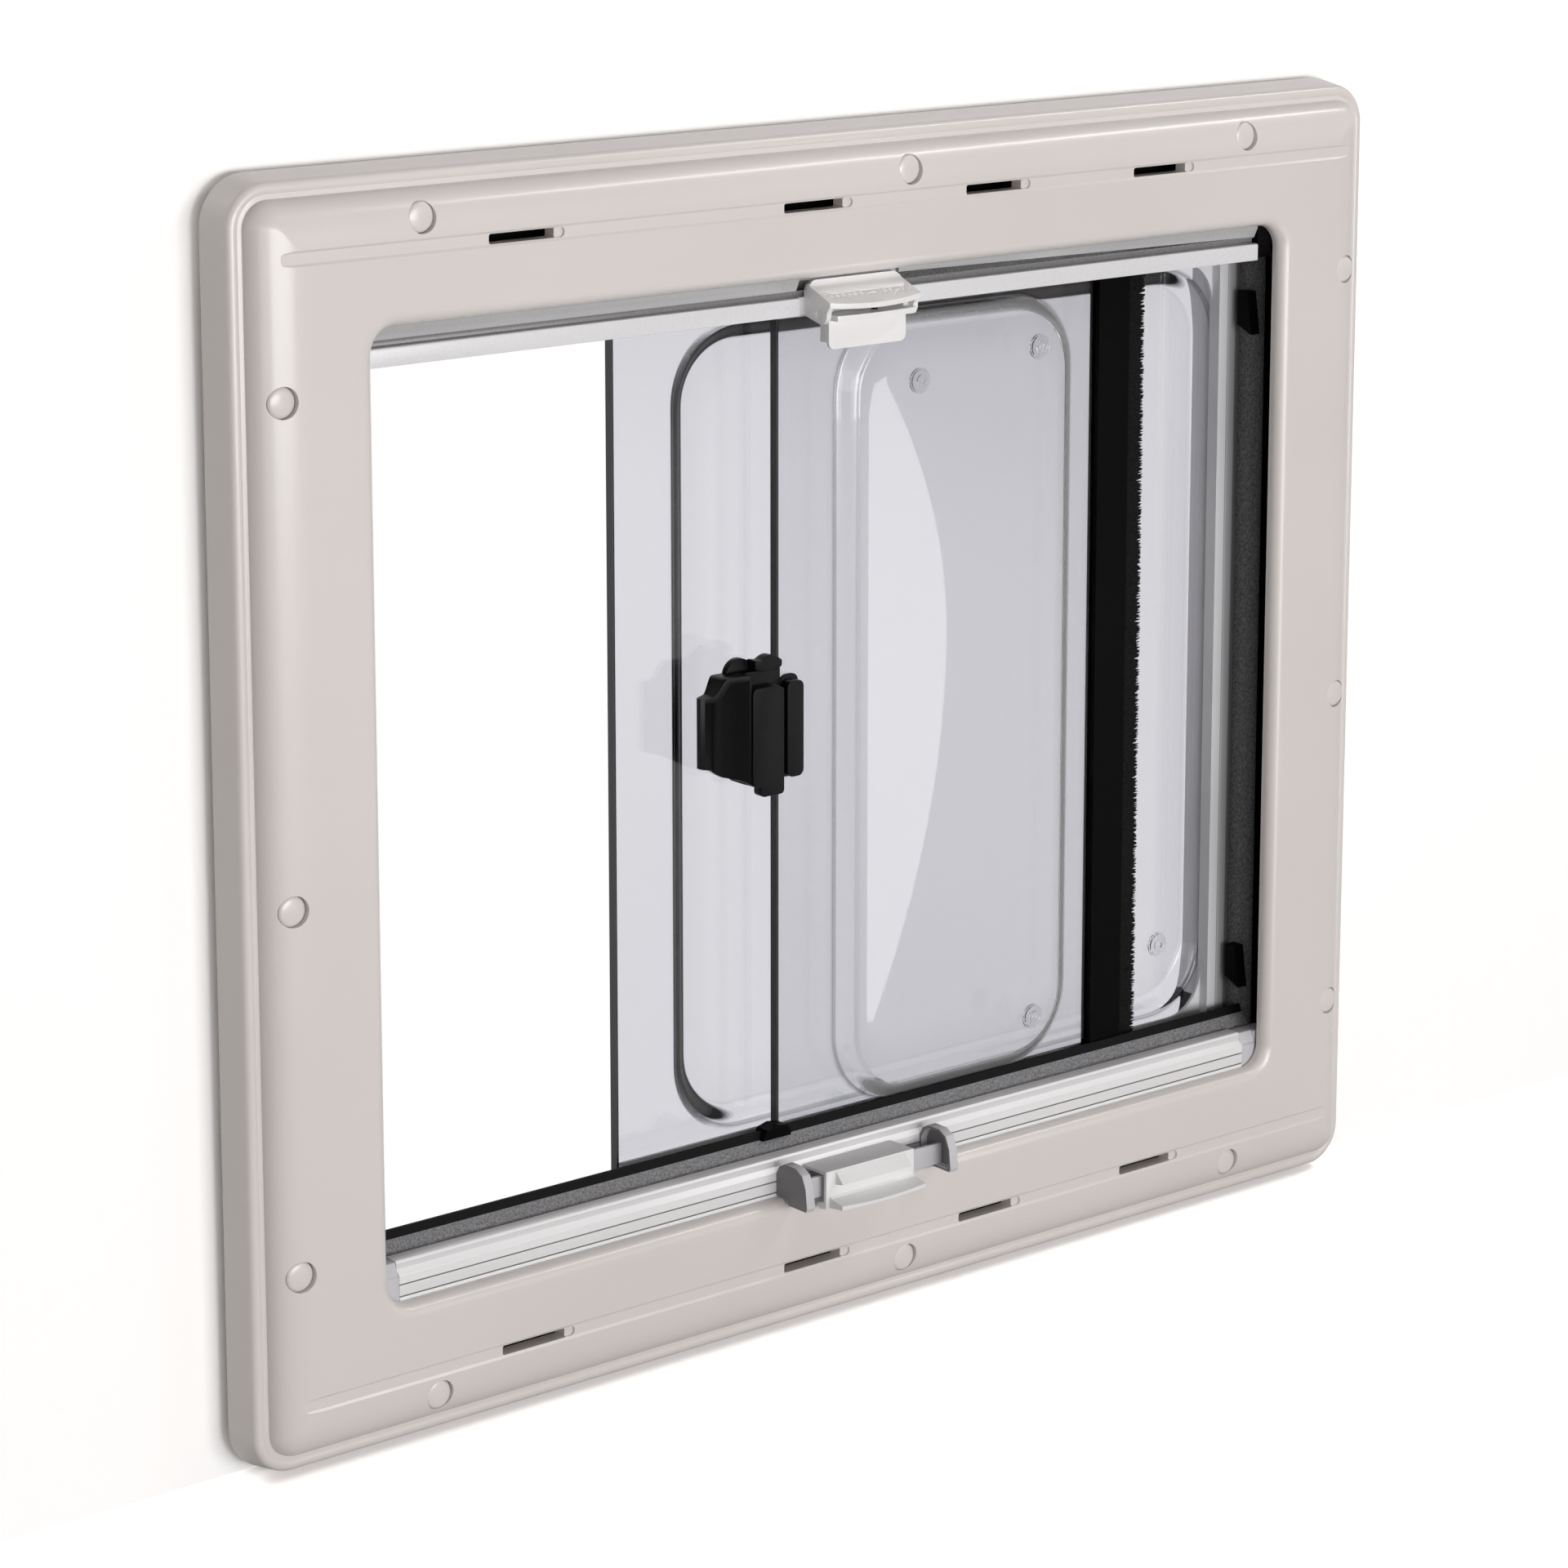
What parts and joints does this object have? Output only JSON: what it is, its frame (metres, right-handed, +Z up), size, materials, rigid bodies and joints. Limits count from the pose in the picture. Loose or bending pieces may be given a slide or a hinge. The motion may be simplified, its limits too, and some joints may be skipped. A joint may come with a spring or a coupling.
{
  "type": "caravan window",
  "caption": "Sliding caravan window with double acrylic panes, a moulded room side frame, a flyscreen and a blackout blind.",
  "frame": {"origin": "middle of the lower side of the outer flange, on its seal face, which bears on the outside of the wall", "axes": "+X along the width, +Y out of the vehicle, +Z up"},
  "size_m": [0.636, 0.0795, 0.536],
  "materials": {
    "cream_moulding": "satin",
    "zinc_screws": "satin",
    "black_frame": "grained",
    "black_rubber": "matte",
    "grey_track": "grained",
    "grey_bead": "fine grain",
    "acrylic": "clear",
    "dark_edge": "matte",
    "brush_pile": "pile",
    "clear_plug": "clear",
    "latch_plastic": "satin",
    "bar_aluminium": "anodised",
    "light_grey_plastic": "satin",
    "screen_cloth": "mesh",
    "blind_cloth": "coated"
  },
  "bodies": {
    "root": {"interior_frame": "cream_moulding", "screw_caps": "cream_moulding", "clamp_screws": "zinc_screws", "outer_frame": "black_frame", "wall_gasket": "black_rubber", "guide_rail_left": "black_frame", "guide_rail_right": "black_frame", "upper_track": "grey_track", "lower_track": "grey_track", "upper_fin_seal": "black_rubber", "lower_fin_seal": "black_rubber", "glazing_bead": "grey_bead", "reveal_catches": "black_frame", "fixed_pane_inner_sheet": "acrylic", "fixed_pane_outer_sheet": "acrylic", "fixed_pane_edge_strip": "dark_edge", "sliding_pane_inner_sheet": "acrylic", "sliding_pane_outer_sheet": "acrylic", "sliding_pane_edge_strip": "dark_edge", "sliding_stile": "black_frame", "brush_seal": "brush_pile", "sash_gliders": "black_frame", "pane_vent_plugs": "clear_plug", "sash_stop": "black_rubber", "latch_body": "latch_plastic", "latch_wing": "latch_plastic", "latch_clamp": "latch_plastic", "latch_lever": "latch_plastic", "screen_cassette": "bar_aluminium", "screen_roller": "screen_cloth", "screen_bar": "bar_aluminium", "screen_bar_ends": "latch_plastic", "screen_handle": "light_grey_plastic", "screen_lever": "light_grey_plastic", "blind_cassette": "bar_aluminium", "blind_roller": "blind_cloth", "blind_bar": "bar_aluminium", "blind_bar_ends": "light_grey_plastic", "blind_grip": "light_grey_plastic", "blind_guide_clips": "light_grey_plastic", "blind_link_strip": "light_grey_plastic"}
  },
  "joints": []
}
